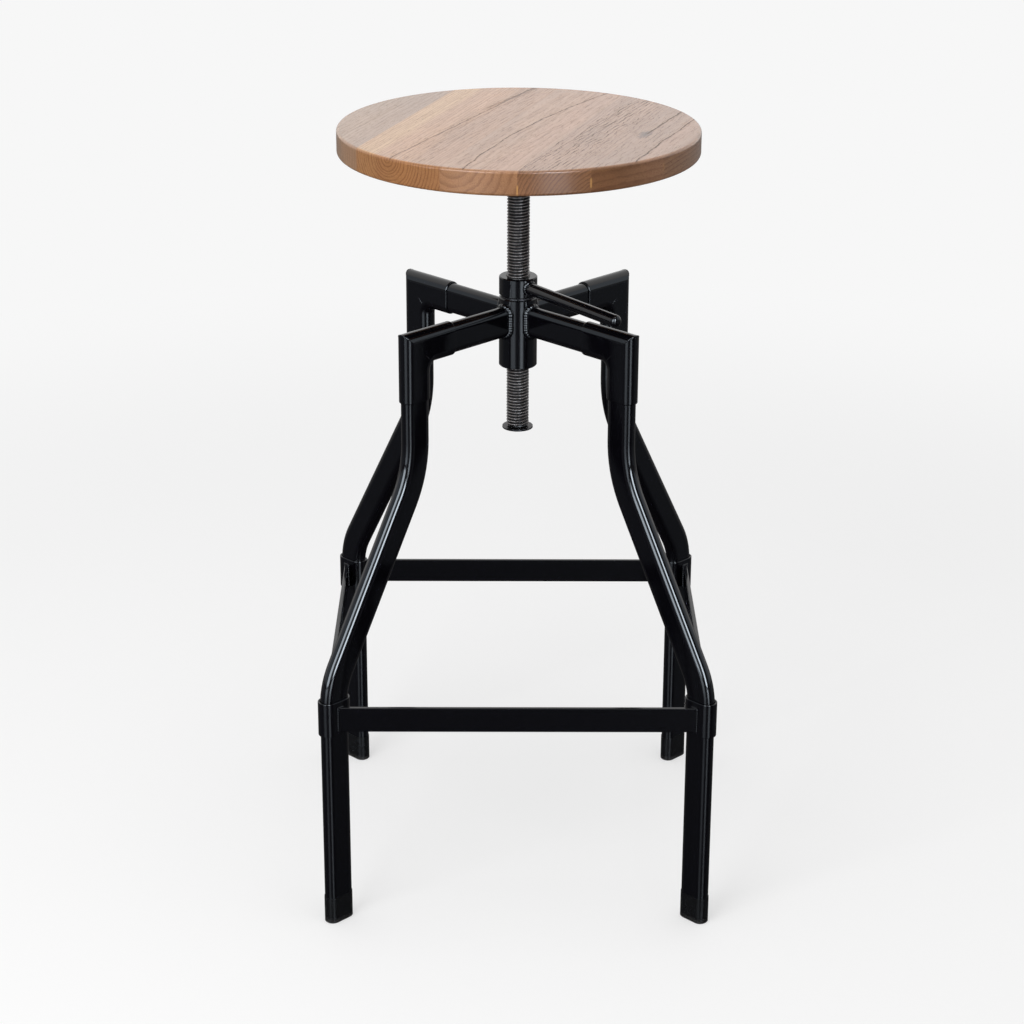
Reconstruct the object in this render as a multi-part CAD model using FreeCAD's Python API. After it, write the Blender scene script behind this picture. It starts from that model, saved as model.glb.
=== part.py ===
import FreeCAD, Part
import math
import os

# Machinist stool: a round seat of edge-glued boards on a screw spindle. The spindle turns in
# the hub of a four-legged frame of flat-oval tube, and a nut with a handle locks it.
# Millimetres. +Z is up, +X is to the right and -Y is towards the front.
# The origin is on the floor under the spindle.

# Seat. Its boards span it from edge to edge, so their widths are scaled to its diameter.
seat_diameter = 344.0
seat_thickness = 23.0
seat_edge_radius = 2.5
stave_widths = (60.0, 96.0, 70.0, 58.0, 48.0, 12.0)
stave_direction = 70.9

# Mounting plate and its wood screws
plate_diameter = 140.0
plate_thickness = 4.0
plate_screw_count = 4
plate_screw_circle = 110.0
plate_screw_direction = 25.9
plate_screw_shank = 4.8
plate_screw_depth = 15.0
plate_screw_head = 9.2
plate_screw_head_height = 2.6
plate_screw_head_round = 1.5

# Spindle and the stop at its foot. The seat stands at the height where the photograph has it:
# spindle_rise is the thread that shows over the lock nut, spindle_tail what hangs under the hub.
spindle_diameter = 22.0
spindle_rise = 118.5
spindle_tail = 63.0
spindle_end_chamfer = 2.2
tenon_diameter = 16.0
stop_washer_diameter = 30.0
stop_washer_thickness = 1.6
stop_screw_shank = 8.0
stop_screw_depth = 22.0
stop_screw_head = 13.0
stop_screw_head_height = 3.2
stop_screw_head_round = 1.9
stop_screw_socket = 5.0
stop_screw_socket_depth = 2.0

# Hub
hub_diameter = 37.0
hub_length = 69.5
hub_drop = 47.5
hub_wall = 4.0
hub_chamfer = 1.0
bush_length = 22.0

# Lock nut, its handle and the washer under it
washer_diameter = 33.0
washer_thickness = 2.0
nut_diameter = 37.0
nut_length = 18.5
nut_chamfer = 0.9
handle_diameter = 12.0
handle_reach = 152.0
handle_direction = -53.0
handle_rise = 9.5
handle_tip_radius = 4.5

# Flat-oval tube of the arms and legs
tube_long = 30.0
tube_short = 15.0
tube_wall = 1.5
arm_height = 563.5
leg_top_radius = 138.0
leg_foot_radius = 247.5
upper_bend_drop = 123.0
lower_bend_height = 251.5
upper_bend_radius = 115.0
lower_bend_radius = 70.0

# Elbow sleeves over the ends of the arms and legs
sleeve_wall = 1.5
sleeve_level_length = 63.0
sleeve_upright_length = 68.0
sleeve_inner_corner = 6.0
sleeve_end_round = 1.2
tube_end_setback = 1.0

# Foot ring: a sleeve on each leg and a flat bar between each two
collar_height = 35.0
collar_wall = 1.5
collar_over_bend = 6.3
collar_end_round = 0.6
bar_height = 25.0
bar_thickness = 4.0
bar_edge_round = 0.8
bar_drop = 1.0
bar_outset = 7.3

# Foot caps
cap_height = 28.0
cap_wall = 0.5
cap_floor = 4.0
cap_chamfer = 1.0

# Clearances
thread_clearance = 0.06
press_clearance = 0.05
screw_clearance = 0.1
washer_play = 0.1
washer_bore_clearance = 0.4
sleeve_clearance = 0.15
collar_clearance = 0.6
cap_clearance = 0.05
weld_gap = 0.1

# Two places nearer than this count as one when an edge is picked by where it lies
same_place = 0.001

# Heights that follow from the sizes
hub_bottom = arm_height - hub_drop
hub_top = hub_bottom + hub_length
nut_bottom = hub_top + washer_thickness
nut_top = nut_bottom + nut_length
spindle_bottom = hub_bottom - spindle_tail
plate_bottom = nut_top + spindle_rise
seat_bottom = plate_bottom + plate_thickness
seat_height = seat_bottom + seat_thickness
upper_bend_height = arm_height - upper_bend_drop

CORNERS = {"back_right": 45.0, "back_left": 135.0, "front_left": 225.0, "front_right": 315.0}
SIDES = {"right": 0.0, "back": 90.0, "left": 180.0, "front": 270.0}
UP = FreeCAD.Vector(0, 0, 1)


def point(x, y, z):
    return FreeCAD.Vector(x, y, z)


def save(name, shape):
    shape.exportStep("parts/" + name + ".step")


def turned(shape, degrees):
    copy = shape.copy()
    copy.rotate(point(0, 0, 0), UP, degrees)
    return copy


def cylinder(diameter, low, high, x=0.0, y=0.0):
    return Part.makeCylinder(diameter / 2, high - low, point(x, y, low))


def ring(outer, inner, low, high):
    return cylinder(outer, low, high).cut(cylinder(inner, low, high))


def edges_at(shape, height, diameter):
    """The circular edges of one diameter at one height."""
    found = []
    for edge in shape.Edges:
        box = edge.BoundBox
        flat = abs(box.ZMin - height) < same_place and abs(box.ZMax - height) < same_place
        if flat and abs(box.XLength - diameter) < same_place:
            found.append(edge)
    return found


# Flat-oval sections

def oval_wire(long, short):
    """A flat oval in the XY plane, centred on the origin, with its long side along X."""
    r = short / 2
    h = (long - short) / 2
    near = Part.LineSegment(point(-h, -r, 0), point(h, -r, 0)).toShape()
    right = Part.Arc(point(h, -r, 0), point(h + r, 0, 0), point(h, r, 0)).toShape()
    far = Part.LineSegment(point(h, r, 0), point(-h, r, 0)).toShape()
    left = Part.Arc(point(-h, r, 0), point(-h - r, 0, 0), point(-h, -r, 0)).toShape()
    return Part.Wire([near, right, far, left])


def upright_oval(long, short, x, low, high):
    """A flat-oval bar standing at x."""
    section = Part.Face(oval_wire(long, short))
    section.translate(point(x, 0, low))
    return section.extrude(point(0, 0, high - low))


def level_oval(long, short, start, end):
    """A flat-oval bar lying along X at the height of the arms, with its long side upright."""
    section = Part.Face(oval_wire(long, short))
    section.rotate(point(0, 0, 0), point(0, 1, 0), 90)
    section.translate(point(start, 0, arm_height))
    return section.extrude(point(end - start, 0, 0))


def oval_tube(bar, long, short, wall, *span):
    return bar(long, short, *span).cut(bar(long - 2 * wall, short - 2 * wall, *span))


# Seat

def around_plate(shape):
    """One copy of a shape at each screw of the mounting plate."""
    step = 360.0 / plate_screw_count
    return [turned(shape, plate_screw_direction + step * i) for i in range(plate_screw_count)]


def make_seat():
    disc = cylinder(seat_diameter, seat_bottom, seat_height)
    rims = edges_at(disc, seat_bottom, seat_diameter) + edges_at(disc, seat_height, seat_diameter)
    disc = disc.makeFillet(seat_edge_radius, rims)
    pilot = cylinder(plate_screw_shank + 2 * screw_clearance, seat_bottom,
                     seat_bottom + plate_screw_depth + screw_clearance, plate_screw_circle / 2)
    disc = disc.cut(Part.makeCompound(around_plate(pilot)))
    scale = seat_diameter / sum(stave_widths)
    seams = [scale * (sum(stave_widths[:i]) - sum(stave_widths) / 2)
             for i in range(1, len(stave_widths))]
    sides = [-seat_diameter] + seams + [seat_diameter]
    for i in range(len(stave_widths)):
        board = Part.makeBox(sides[i + 1] - sides[i], 2 * seat_diameter, seat_thickness,
                             point(sides[i], -seat_diameter, seat_bottom))
        save("seat_stave_" + str(i + 1), disc.common(turned(board, stave_direction - 90.0)))


def make_plate():
    plate = ring(plate_diameter, tenon_diameter + 2 * press_clearance, plate_bottom, seat_bottom)
    hole = cylinder(plate_screw_shank + 2 * screw_clearance, plate_bottom, seat_bottom,
                    plate_screw_circle / 2)
    save("seat_plate", plate.cut(Part.makeCompound(around_plate(hole))))
    head_bottom = plate_bottom - plate_screw_head_height
    x = plate_screw_circle / 2
    head = cylinder(plate_screw_head, head_bottom, plate_bottom, x)
    head = head.makeFillet(plate_screw_head_round, edges_at(head, head_bottom, plate_screw_head))
    shank = cylinder(plate_screw_shank, plate_bottom, seat_bottom + plate_screw_depth, x)
    save("plate_screws", Part.makeCompound(around_plate(head.fuse(shank).removeSplitter())))


# Spindle

def make_spindle():
    body = cylinder(spindle_diameter, spindle_bottom, plate_bottom)
    body = body.makeChamfer(spindle_end_chamfer, edges_at(body, spindle_bottom, spindle_diameter))
    body = body.fuse(cylinder(tenon_diameter, plate_bottom, seat_bottom))
    hole = cylinder(stop_screw_shank + 2 * screw_clearance, spindle_bottom,
                    spindle_bottom + stop_screw_depth)
    save("spindle", body.cut(hole).removeSplitter())


def make_stop():
    top = spindle_bottom - washer_play
    bottom = top - stop_washer_thickness
    save("stop_washer", ring(stop_washer_diameter, stop_screw_shank + 2 * screw_clearance, bottom, top))
    head_top = bottom - washer_play
    head_bottom = head_top - stop_screw_head_height
    head = cylinder(stop_screw_head, head_bottom, head_top)
    head = head.makeFillet(stop_screw_head_round, edges_at(head, head_bottom, stop_screw_head))
    shank = cylinder(stop_screw_shank, head_top, spindle_bottom + stop_screw_depth - screw_clearance)
    socket_corners = [
        point(stop_screw_socket / math.sqrt(3) * math.cos(math.radians(60 * i)),
              stop_screw_socket / math.sqrt(3) * math.sin(math.radians(60 * i)), head_bottom)
        for i in range(7)
    ]
    socket = Part.Face(Part.makePolygon(socket_corners)).extrude(point(0, 0, stop_screw_socket_depth))
    save("stop_screw", head.fuse(shank).removeSplitter().cut(socket))


# Hub, lock nut and handle

thread_bore = spindle_diameter + 2 * thread_clearance


def make_hub():
    bore = hub_diameter - 2 * hub_wall
    body = cylinder(hub_diameter, hub_bottom, hub_top)
    rims = edges_at(body, hub_bottom, hub_diameter) + edges_at(body, hub_top, hub_diameter)
    body = body.makeChamfer(hub_chamfer, rims)
    save("hub_tube", body.cut(cylinder(bore, hub_bottom, hub_top)))
    bush_diameter = bore - 2 * press_clearance
    save("hub_bush_bottom", ring(bush_diameter, thread_bore, hub_bottom, hub_bottom + bush_length))
    save("hub_bush_top", ring(bush_diameter, thread_bore, hub_top - bush_length, hub_top))


def make_lock():
    washer_bore = spindle_diameter + 2 * washer_bore_clearance
    save("lock_washer", ring(washer_diameter, washer_bore, hub_top, nut_bottom))
    nut = cylinder(nut_diameter, nut_bottom, nut_top)
    rims = edges_at(nut, nut_bottom, nut_diameter) + edges_at(nut, nut_top, nut_diameter)
    nut = nut.makeChamfer(nut_chamfer, rims).cut(cylinder(thread_bore, nut_bottom, nut_top))
    nut = nut.makeChamfer(nut_chamfer, edges_at(nut, nut_top, thread_bore))
    save("lock_nut", nut)
    z = nut_bottom + handle_rise
    bar = Part.makeCylinder(handle_diameter / 2, handle_reach, point(0, 0, z), point(1, 0, 0))
    tip = [edge for edge in bar.Edges if edge.BoundBox.XMin > handle_reach - same_place]
    bar = bar.makeFillet(handle_tip_radius, tip)
    bar = bar.cut(cylinder(nut_diameter + 2 * weld_gap, nut_bottom, nut_top))
    save("lock_handle", turned(bar, handle_direction))


# Arms, elbows and legs

sleeve_long = tube_long + 2 * (sleeve_clearance + sleeve_wall)
sleeve_short = tube_short + 2 * (sleeve_clearance + sleeve_wall)
corner_x = leg_top_radius + sleeve_long / 2
corner_z = arm_height + sleeve_long / 2


def mitred(long, short):
    """A level and an upright flat-oval bar that meet at 45 degrees over the leg's top."""
    x = leg_top_radius
    z = arm_height
    far = sleeve_level_length + sleeve_upright_length
    level = level_oval(long, short, corner_x - sleeve_level_length, x + long)
    upright = upright_oval(long, short, x, corner_z - sleeve_upright_length, z + long)
    above = [point(x - far, -short, z - far), point(x + far, -short, z + far),
             point(x - far, -short, z + far)]
    below = [above[0], above[1], point(x + far, -short, z - far)]
    halves = [Part.Face(Part.makePolygon(p + [p[0]])).extrude(point(0, 2 * short, 0))
              for p in (above, below)]
    return level.common(halves[0]).fuse(upright.common(halves[1]))


def make_elbow():
    """The mitred sleeve, with its inner corner rounded by a quarter turn of the section."""
    x = leg_top_radius - sleeve_long / 2 - sleeve_inner_corner
    z = arm_height - sleeve_long / 2 - sleeve_inner_corner
    section = Part.Face(oval_wire(sleeve_long, sleeve_short))
    section.rotate(point(0, 0, 0), point(0, 1, 0), 90)
    section.translate(point(x, 0, arm_height))
    quarter = section.revolve(point(x, 0, z), point(0, 1, 0), 90)
    outside = mitred(sleeve_long, sleeve_short).fuse(quarter).removeSplitter()
    level_end = corner_x - sleeve_level_length
    upright_end = corner_z - sleeve_upright_length
    rims = [edge for edge in outside.Edges
            if abs(edge.BoundBox.XMax - level_end) < same_place
            or abs(edge.BoundBox.ZMax - upright_end) < same_place]
    outside = outside.makeFillet(sleeve_end_round, rims)
    inside = mitred(sleeve_long - 2 * sleeve_wall, sleeve_short - 2 * sleeve_wall)
    return outside.cut(inside).removeSplitter()


def make_arm():
    end = leg_top_radius - tube_long / 2 - tube_end_setback
    tube = oval_tube(level_oval, tube_long, tube_short, tube_wall, 0.0, end)
    return tube.cut(cylinder(hub_diameter + 2 * weld_gap, hub_bottom, hub_top))


lean = math.atan2(leg_foot_radius - leg_top_radius, upper_bend_height - lower_bend_height)
low_cut = lower_bend_radius * math.tan(lean / 2)
high_cut = upper_bend_radius * math.tan(lean / 2)


def leg_path():
    """The leg's centre line from the floor up: upright, bent in, bent back and upright again."""
    along = point(-math.sin(lean), 0, math.cos(lean))
    low_corner = point(leg_foot_radius, 0, lower_bend_height)
    high_corner = point(leg_top_radius, 0, upper_bend_height)
    ends = [
        point(leg_foot_radius, 0, cap_floor),
        low_corner - UP * low_cut,
        low_corner + along * low_cut,
        high_corner - along * high_cut,
        high_corner + UP * high_cut,
        point(leg_top_radius, 0, arm_height - tube_long / 2 - tube_end_setback),
    ]
    low_middle = (low_corner - point(lower_bend_radius, 0, low_cut)
                  + point(math.cos(lean / 2), 0, math.sin(lean / 2)) * lower_bend_radius)
    high_middle = (high_corner + point(upper_bend_radius, 0, high_cut)
                   - point(math.cos(lean / 2), 0, math.sin(lean / 2)) * upper_bend_radius)
    return Part.Wire([
        Part.LineSegment(ends[0], ends[1]).toShape(),
        Part.Arc(ends[1], low_middle, ends[2]).toShape(),
        Part.LineSegment(ends[2], ends[3]).toShape(),
        Part.Arc(ends[3], high_middle, ends[4]).toShape(),
        Part.LineSegment(ends[4], ends[5]).toShape(),
    ])


def make_leg():
    path = leg_path()
    bars = []
    for wall in (0.0, tube_wall):
        section = oval_wire(tube_long - 2 * wall, tube_short - 2 * wall)
        section.translate(point(leg_foot_radius, 0, cap_floor))
        bars.append(path.makePipeShell([section], True, False))
    return bars[0].cut(bars[1])


# Foot ring and foot caps

collar_long = tube_long + 2 * (collar_clearance + collar_wall)
collar_short = tube_short + 2 * (collar_clearance + collar_wall)
collar_top = lower_bend_height - low_cut + collar_over_bend
collar_centre = collar_top - collar_height / 2


def make_collar():
    low = collar_top - collar_height
    outside = upright_oval(collar_long, collar_short, leg_foot_radius, low, collar_top)
    rims = [edge for edge in outside.Edges if edge.BoundBox.ZLength < same_place]
    outside = outside.makeFillet(collar_end_round, rims)
    return outside.cut(upright_oval(collar_long - 2 * collar_wall, collar_short - 2 * collar_wall,
                                    leg_foot_radius, low, collar_top))


def make_bar():
    """The bar on the right side, along Y, cut at 45 degrees to lie against its two collars."""
    leg = leg_foot_radius / math.sqrt(2)
    inner = leg + bar_outset - bar_thickness / 2
    outer = inner + bar_thickness
    short_by = math.sqrt(2) * (collar_short / 2 + weld_gap)
    low = collar_centre - bar_drop - bar_height / 2
    plan = [point(inner, short_by - inner, low), point(outer, short_by - outer, low),
            point(outer, outer - short_by, low), point(inner, inner - short_by, low)]
    bar = Part.Face(Part.makePolygon(plan + [plan[0]])).extrude(point(0, 0, bar_height))
    along = [edge for edge in bar.Edges if edge.BoundBox.YLength > bar_height]
    return bar.makeFillet(bar_edge_round, along)


def make_cap():
    spare = cap_clearance + cap_wall
    cup = upright_oval(tube_long + 2 * spare, tube_short + 2 * spare, leg_foot_radius, 0.0, cap_height)
    bottom = [edge for edge in cup.Edges if edge.BoundBox.ZMax < same_place]
    cup = cup.makeChamfer(cap_chamfer, bottom)
    return cup.cut(upright_oval(tube_long + 2 * cap_clearance, tube_short + 2 * cap_clearance,
                                leg_foot_radius, cap_floor, cap_height))


def make_frame():
    on_corners = {"arm": make_arm(), "elbow": make_elbow(), "leg": make_leg(),
                  "collar": make_collar(), "foot_cap": make_cap()}
    for kind, shape in on_corners.items():
        for corner, direction in CORNERS.items():
            save(kind + "_" + corner, turned(shape, direction))
    bar = make_bar()
    for side, direction in SIDES.items():
        save("foot_bar_" + side, turned(bar, direction))


os.makedirs("parts", exist_ok=True)
make_seat()
make_plate()
make_spindle()
make_stop()
make_hub()
make_lock()
make_frame()
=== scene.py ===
import math

import bmesh
import bpy
from mathutils import Matrix, Vector


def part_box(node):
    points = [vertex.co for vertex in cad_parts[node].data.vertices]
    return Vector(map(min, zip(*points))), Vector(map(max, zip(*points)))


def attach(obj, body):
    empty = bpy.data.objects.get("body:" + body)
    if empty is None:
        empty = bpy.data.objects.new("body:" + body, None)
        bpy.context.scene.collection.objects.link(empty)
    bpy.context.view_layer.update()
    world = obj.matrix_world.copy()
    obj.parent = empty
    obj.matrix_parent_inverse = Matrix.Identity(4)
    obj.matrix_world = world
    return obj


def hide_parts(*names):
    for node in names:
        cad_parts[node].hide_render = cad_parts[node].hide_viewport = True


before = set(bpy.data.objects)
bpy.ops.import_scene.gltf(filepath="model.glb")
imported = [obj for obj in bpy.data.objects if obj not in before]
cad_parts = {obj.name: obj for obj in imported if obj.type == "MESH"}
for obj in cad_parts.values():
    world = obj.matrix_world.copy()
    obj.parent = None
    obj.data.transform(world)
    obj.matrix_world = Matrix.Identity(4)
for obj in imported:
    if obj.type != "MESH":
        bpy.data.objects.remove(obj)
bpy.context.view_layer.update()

# Machinist stool in metres: a round seat of varnished boards on a screw spindle, in a glossy
# black frame. +Z is up and the front is -Y. The model gives the pieces, and this script gives
# them their finishes, cuts the thread of the spindle and lays the weld beads.

MM = 0.001
TINY = 0.01 * MM

# The grain of the seat runs from front to back, turned this far to the right.
GRAIN_TURN = math.radians(19.1)

# Thread of the spindle. Its crests are painted bright between two radii: a painted highlight, partly rubbed
# steel.
THREAD_PITCH = 3.0 * MM
THREAD_DEPTH = 1.15 * MM
THREAD_ROOT_FLAT = 0.5 * MM
THREAD_CREST_FLAT = 0.55 * MM
THREAD_STEPS = 28
THREAD_CREASE = math.radians(25)
CREST_RUB_AND_HIGHLIGHT_FROM = 10.35 * MM
CREST_RUB_AND_HIGHLIGHT_TO = 10.95 * MM
SPINDLE_CHAMFER = 2.2 * MM
TENON_DIAMETER = 16 * MM
TENON_SIDES = 48

# Sleeves and tubes, as the beads need them
LEG_TOP_RADIUS = 138 * MM
SLEEVE_END_RADIUS = 9.15 * MM
SLEEVE_HALF_FLAT = 7.5 * MM
ARM_END_RADIUS = 7.5 * MM
ARM_HALF_FLAT = 7.5 * MM
HANDLE_RADIUS = 6 * MM
HANDLE_RISE = 9.5 * MM
HANDLE_TURN = math.radians(-53)
FIRST_CORNER = math.radians(45)

# Weld beads, by their radius, and how far each stands out of its joint or sinks into it. A bead
# with two ends draws in towards them.
HUB_BEAD = 2.9 * MM
HUB_BEAD_OUT = 0.9 * MM
ELBOW_BEAD = 0.8 * MM
ELBOW_BEAD_SUNK = 0.55 * MM
INNER_BEAD_LOW = -12.5 * MM
INNER_BEAD_HIGH = -6 * MM
BAR_BEAD = 1.2 * MM
HANDLE_BEAD = 1.7 * MM
HANDLE_BEAD_OUT = 0.3 * MM
PLATE_BEAD = 1.8 * MM
PLATE_BEAD_IN = 0.2 * MM
PLATE_BEAD_DOWN = 0.3 * MM
ELBOW_STEPS = 17
BEAD_SIDES = 10
BEAD_STEP = 0.6 * MM
BEAD_TAPER = 0.45
BEAD_CREASE = math.radians(38)
RIPPLE_PITCH = 2.4 * MM
RIPPLE_DEPTH = 0.08

# Camera, fitted to the photograph
CAMERA_PLACE = (-0.01587, -2.3853, 1.3082)
CAMERA_PAN = -0.0045
CAMERA_DIP = 0.3781
CAMERA_ROLL = 0.0038
CAMERA_LENS = 90.42

# Floor. The eye sees it glow like the backdrop, and near the stool a share of it takes shadows
# instead. That share fades out from the near radius to the far one. Bounced light and gloss see
# colours of their own.
FLOOR_SIZE = 14.0
FLOOR_NEAR = 0.9
FLOOR_FAR = 2.0
FLOOR_SHARE = 0.50
FLOOR_UNSHADED = 0.93
FLOOR_BOUNCE = (0.30, 0.29, 0.28)
FLOOR_MIRRORED = (0.014, 0.013, 0.015)
FLOOR_GLOSS = 0.28
FLOOR_ROUGHNESS = 0.30

# Backdrop, as the eye and the gloss see it, and the even light that falls on everything
BACKDROP_WHITE = 0.93
BACKDROP_FRONT = 0.10
BACKDROP_FROM = -0.1
BACKDROP_TO = 0.35
ROOM_AMBIENT = 0.62

# Windows are seen only in the gloss, as soft upright patches of light. Each is (azimuth and half
# width in degrees, low and high ends on a sphere of radius one, strength).
WINDOWS = (
    (178, 38, 0.04, 0.80, 0.75),
    (240, 13, 0.02, 0.62, 9.0),
    (268, 34, 0.10, 0.75, 0.60),
    (292, 8, 0.02, 0.62, 19.0),
    (5, 30, 0.04, 0.80, 0.85),
)
WINDOW_COLOUR = (0.80, 0.90, 1.0)
WINDOW_BLUR = 0.35

# Lamps
TOP_LIGHT_PLACE = (0, -0.3, 2.9)
TOP_LIGHT_AIM = (0, 0, 0.4)
TOP_LIGHT_SIZE = 1.7
TOP_LIGHT_RADIANCE = 1.6
SIDE_LIGHT_PLACE = (-1.5, -2.1, 1.35)
SIDE_LIGHT_AIM = (0, 0, 0.7)
SIDE_LIGHT_SIZE = 1.6
SIDE_LIGHT_RADIANCE = 4.4


def srgb(red, green, blue):
    """A colour named by its values from 0 to 255, as the linear colour that shaders take."""
    linear = []
    for value in (red, green, blue):
        share = value / 255
        linear.append(share / 12.92 if share <= 0.04045 else ((share + 0.055) / 1.055) ** 2.4)
    return (*linear, 1.0)


# Shader nodes

class Nodes:
    """The nodes of one material or group. Each method adds one and returns its output."""

    def __init__(self, tree):
        self.tree = tree

    def plug(self, socket, value):
        if isinstance(value, bpy.types.NodeSocket):
            self.tree.links.new(value, socket)
        else:
            socket.default_value = value

    def add(self, kind, inputs=None, **settings):
        made = self.tree.nodes.new(kind)
        for name, value in settings.items():
            setattr(made, name, value)
        for name, value in (inputs or {}).items():
            self.plug(made.inputs[name], value)
        return made

    def math(self, operation, *values):
        made = self.add("ShaderNodeMath", operation=operation)
        for socket, value in zip(made.inputs, values):
            self.plug(socket, value)
        return made.outputs[0]

    def vector(self, operation, *values):
        made = self.add("ShaderNodeVectorMath", operation=operation)
        for socket, value in zip(made.inputs, values):
            self.plug(socket, value)
        return made.outputs["Value" if operation in ("DOT_PRODUCT", "LENGTH") else "Vector"]

    def combine(self, x, y, z):
        return self.add("ShaderNodeCombineXYZ", {"X": x, "Y": y, "Z": z}).outputs[0]

    def separate(self, vector):
        return self.add("ShaderNodeSeparateXYZ", {"Vector": vector}).outputs

    def ramp(self, value, start, end, low=0.0, high=1.0):
        """A soft step: low where the value is at start, high where it is at end."""
        inputs = {"Value": value, "From Min": start, "From Max": end, "To Min": low, "To Max": high}
        return self.add("ShaderNodeMapRange", inputs, interpolation_type="SMOOTHSTEP").outputs[0]

    def noise(self, vector, scale=1.0, detail=2.0, roughness=0.5):
        inputs = {"Vector": vector, "Scale": scale, "Detail": detail, "Roughness": roughness}
        return self.add("ShaderNodeTexNoise", inputs).outputs["Fac"]

    def blend(self, factor, first, second, mode="MIX"):
        made = self.add("ShaderNodeMix", data_type="RGBA", blend_type=mode)
        for socket, value in ((0, factor), (6, first), (7, second)):
            self.plug(made.inputs[socket], value)
        return made.outputs[2]

    def bump(self, height, strength, distance):
        inputs = {"Height": height, "Strength": strength, "Distance": distance}
        return self.add("ShaderNodeBump", inputs).outputs["Normal"]

    def place(self, group, **inputs):
        """A placed group. Its inputs are named with _ for each blank."""
        made = self.add("ShaderNodeGroup", node_tree=group)
        for name, value in inputs.items():
            self.plug(made.inputs[name.replace("_", " ")], value)
        return made.outputs


def new_group(name, inputs, outputs):
    """An empty node group with its nodes, the outputs that start it and the inputs that end it."""
    tree = bpy.data.node_groups.new(name, "ShaderNodeTree")
    for label, value in inputs.items():
        kind = "NodeSocketVector" if value is None else "NodeSocketFloat"
        socket = tree.interface.new_socket(label, in_out="INPUT", socket_type=kind)
        if value is not None:
            socket.default_value = value
    for label in outputs:
        kind = "NodeSocketVector" if label == "Normal" else "NodeSocketFloat"
        tree.interface.new_socket(label, in_out="OUTPUT", socket_type=kind)
    nodes = Nodes(tree)
    start = nodes.add("NodeGroupInput").outputs
    end = nodes.add("NodeGroupOutput").inputs
    return tree, nodes, start, end


def new_material(name):
    """A material with its nodes, its shader and the coordinates of the point that is shaded."""
    material = bpy.data.materials.new(name)
    material.use_nodes = True
    shader = material.node_tree.nodes["Principled BSDF"]
    nodes = Nodes(material.node_tree)
    point = nodes.add("ShaderNodeTexCoord").outputs
    return material, nodes, shader, point


# Groups that several finishes use

def board_frame_group():
    """Where a point lies on the seat in millimetres, and how square its surface is to the grain."""
    tree, nodes, start, end = new_group(
        "board frame", {"Vector": None, "Surface": None}, ["Across", "Along", "Height", "End", "Top"])
    across = (math.cos(GRAIN_TURN), -math.sin(GRAIN_TURN), 0)
    along = (math.sin(GRAIN_TURN), math.cos(GRAIN_TURN), 0)
    for label, direction in (("Across", across), ("Along", along), ("Height", (0, 0, 1))):
        metres = nodes.vector("DOT_PRODUCT", start["Vector"], direction)
        nodes.plug(end[label], nodes.math("DIVIDE", metres, MM))
    facing = nodes.math("ABSOLUTE", nodes.vector("DOT_PRODUCT", start["Surface"], along))
    nodes.plug(end["End"], nodes.ramp(facing, 0.25, 0.75))
    upward = nodes.vector("DOT_PRODUCT", start["Surface"], (0, 0, 1))
    nodes.plug(end["Top"], nodes.ramp(upward, 0.3, 0.9))
    return tree


def growth_rings_group():
    """The dark late wood of rings round a pith that runs along the board."""
    inputs = {"Across": 0.0, "Along": 0.0, "Height": 0.0, "Pith Across": 0.0, "Pith Height": 740.0,
              "Spacing": 3.0, "Sway": 2.0, "Unevenness": 0.6, "Seed": 0.0, "Bulge": 0.0}
    tree, nodes, start, end = new_group("growth rings", inputs, ["Late"])
    drift = nodes.noise(nodes.combine(start["Seed"], nodes.math("MULTIPLY", start["Along"], 0.011), 0.0))
    drift = nodes.math("MULTIPLY", nodes.math("SUBTRACT", drift, 0.5),
                       nodes.math("MULTIPLY", start["Sway"], 4.0))
    sideways = nodes.math("SUBTRACT", nodes.math("ADD", start["Across"], drift), start["Pith Across"])
    upward = nodes.math("SUBTRACT", start["Height"], start["Pith Height"])
    radius = nodes.vector("LENGTH", nodes.combine(sideways, upward, 0.0))
    fine = nodes.combine(nodes.math("MULTIPLY", start["Across"], 0.13),
                         nodes.math("MULTIPLY", start["Along"], 0.022),
                         nodes.math("MULTIPLY", start["Height"], 0.13))
    ripple = nodes.math("SUBTRACT", nodes.noise(fine, 1.0, 3.0, 0.55), 0.5)
    ripple = nodes.math("MULTIPLY", ripple, nodes.math("MULTIPLY", start["Unevenness"], start["Spacing"]))
    radius = nodes.math("ADD", nodes.math("ADD", radius, ripple), start["Bulge"])
    count = nodes.math("DIVIDE", radius, start["Spacing"])
    seasons = nodes.noise(nodes.combine(nodes.math("MULTIPLY", count, 0.45), start["Seed"], 0.0))
    count = nodes.math("ADD", count, nodes.math("MULTIPLY", seasons, 1.4))
    phase = nodes.math("FRACT", count)
    rise = nodes.ramp(phase, 0.45, 0.86)
    fall = nodes.ramp(phase, 0.90, 1.0, 1.0, 0.0)
    nodes.plug(end["Late"], nodes.math("MULTIPLY", rise, fall))
    return tree


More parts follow.
